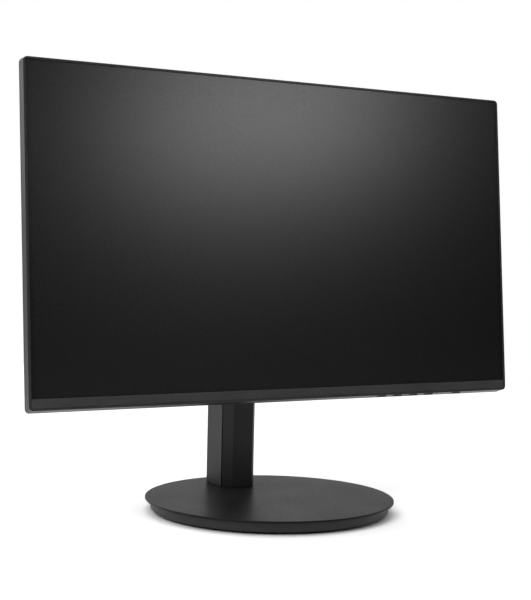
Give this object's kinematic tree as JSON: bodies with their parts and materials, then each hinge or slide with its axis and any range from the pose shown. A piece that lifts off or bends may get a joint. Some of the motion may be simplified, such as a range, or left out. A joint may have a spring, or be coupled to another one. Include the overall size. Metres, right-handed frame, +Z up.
{
  "type": "computer monitor",
  "caption": "Flat computer monitor with slim bezels on a tilting, lifting and swivelling stand with a round base",
  "frame": {"origin": "Centre of the round base, on the surface it stands on", "axes": "+Z up, +X to the right of someone facing the screen, the screen faces -Y"},
  "size_m": [0.54, 0.248, 0.4262],
  "materials": {
    "frame_plastic": "satin",
    "chin_plastic": "matte",
    "moulded": "matte",
    "powder_coat": "matte",
    "screen_glass": "satin",
    "film": "matte",
    "acrylic": "polished",
    "zinc_steel": "satin",
    "screw_steel": "satin",
    "nylon": "matte",
    "rubber_pad": "matte",
    "circuit_board": "satin",
    "socket_plastic": "satin",
    "socket_shell": "satin",
    "lens": "polished"
  },
  "bodies": {
    "foot": {"base_ring": "moulded", "base_weight": "zinc_steel", "swivel_glide_ring": "nylon", "rubber_pad_1": "rubber_pad", "rubber_pad_2": "rubber_pad", "rubber_pad_3": "rubber_pad", "rubber_pad_4": "rubber_pad", "rubber_pad_5": "rubber_pad"},
    "stand": {"base_disc": "powder_coat", "swivel_pin": "zinc_steel", "swivel_retainer": "zinc_steel", "column_housing": "moulded", "column_cover": "moulded", "column_cap": "moulded", "column_bracket": "zinc_steel", "slide_rail": "zinc_steel", "strut_cylinder": "powder_coat", "cable_clip": "moulded", "foot_screw_left": "screw_steel", "foot_screw_right": "screw_steel"},
    "carriage": {"lift_carriage": "zinc_steel", "glide_pad_left": "nylon", "glide_pad_right": "nylon", "hinge_arm": "powder_coat", "arm_screw_upper": "screw_steel", "arm_screw_lower": "screw_steel", "strut_rod": "screw_steel"},
    "screen": {"screen_frame": "frame_plastic", "chin_strip": "chin_plastic", "lcd_panel": "screen_glass", "film_stack": "film", "light_guide": "acrylic", "reflector_sheet": "film", "led_strip": "circuit_board", "panel_tray": "zinc_steel", "electronics_chassis": "zinc_steel", "main_board": "circuit_board", "power_board": "circuit_board", "rear_cover": "moulded", "power_inlet": "socket_plastic", "hdmi_socket": "socket_shell", "displayport_socket": "socket_shell", "audio_jack": "socket_plastic", "key_board": "circuit_board", "power_light": "lens", "mount_plate": "powder_coat", "mount_screw_1": "screw_steel", "mount_screw_2": "screw_steel", "mount_screw_3": "screw_steel", "mount_screw_4": "screw_steel", "tilt_pin": "screw_steel", "tilt_nut": "screw_steel", "friction_washer_left": "screw_steel", "friction_washer_right": "screw_steel"},
    "menu_button": {"key_menu": "frame_plastic"},
    "left_button": {"key_left": "frame_plastic"},
    "right_button": {"key_right": "frame_plastic"},
    "input_button": {"key_input": "frame_plastic"},
    "power_button": {"key_power": "frame_plastic"}
  },
  "joints": [
    {"name": "swivel", "type": "hinge", "parent": "foot", "child": "stand", "pos_m": [0, 0, 0.0115], "axis": [0, 0, 1], "range_deg": [-45, 45]},
    {"name": "lift", "type": "slide", "parent": "stand", "child": "carriage", "axis": [0, 0, 1], "range_m": [-0.065, 0.065]},
    {"name": "tilt", "type": "hinge", "parent": "carriage", "child": "screen", "pos_m": [0, 0.03269, 0.26676], "axis": [-1, 0, 0], "range_deg": [-10, 15]},
    {"name": "press_menu", "type": "slide", "parent": "screen", "child": "menu_button", "axis": [0, 0.0872, 0.9962], "range_m": [0, 0.0006], "stiffness_N_per_m": 700, "springref_m": -0.0015},
    {"name": "press_left", "type": "slide", "parent": "screen", "child": "left_button", "axis": [0, 0.0872, 0.9962], "range_m": [0, 0.0006], "stiffness_N_per_m": 700, "springref_m": -0.0015},
    {"name": "press_right", "type": "slide", "parent": "screen", "child": "right_button", "axis": [0, 0.0872, 0.9962], "range_m": [0, 0.0006], "stiffness_N_per_m": 700, "springref_m": -0.0015},
    {"name": "press_input", "type": "slide", "parent": "screen", "child": "input_button", "axis": [0, 0.0872, 0.9962], "range_m": [0, 0.0006], "stiffness_N_per_m": 700, "springref_m": -0.0015},
    {"name": "press_power", "type": "slide", "parent": "screen", "child": "power_button", "axis": [0, 0.0872, 0.9962], "range_m": [0, 0.0006], "stiffness_N_per_m": 700, "springref_m": -0.0015}
  ]
}
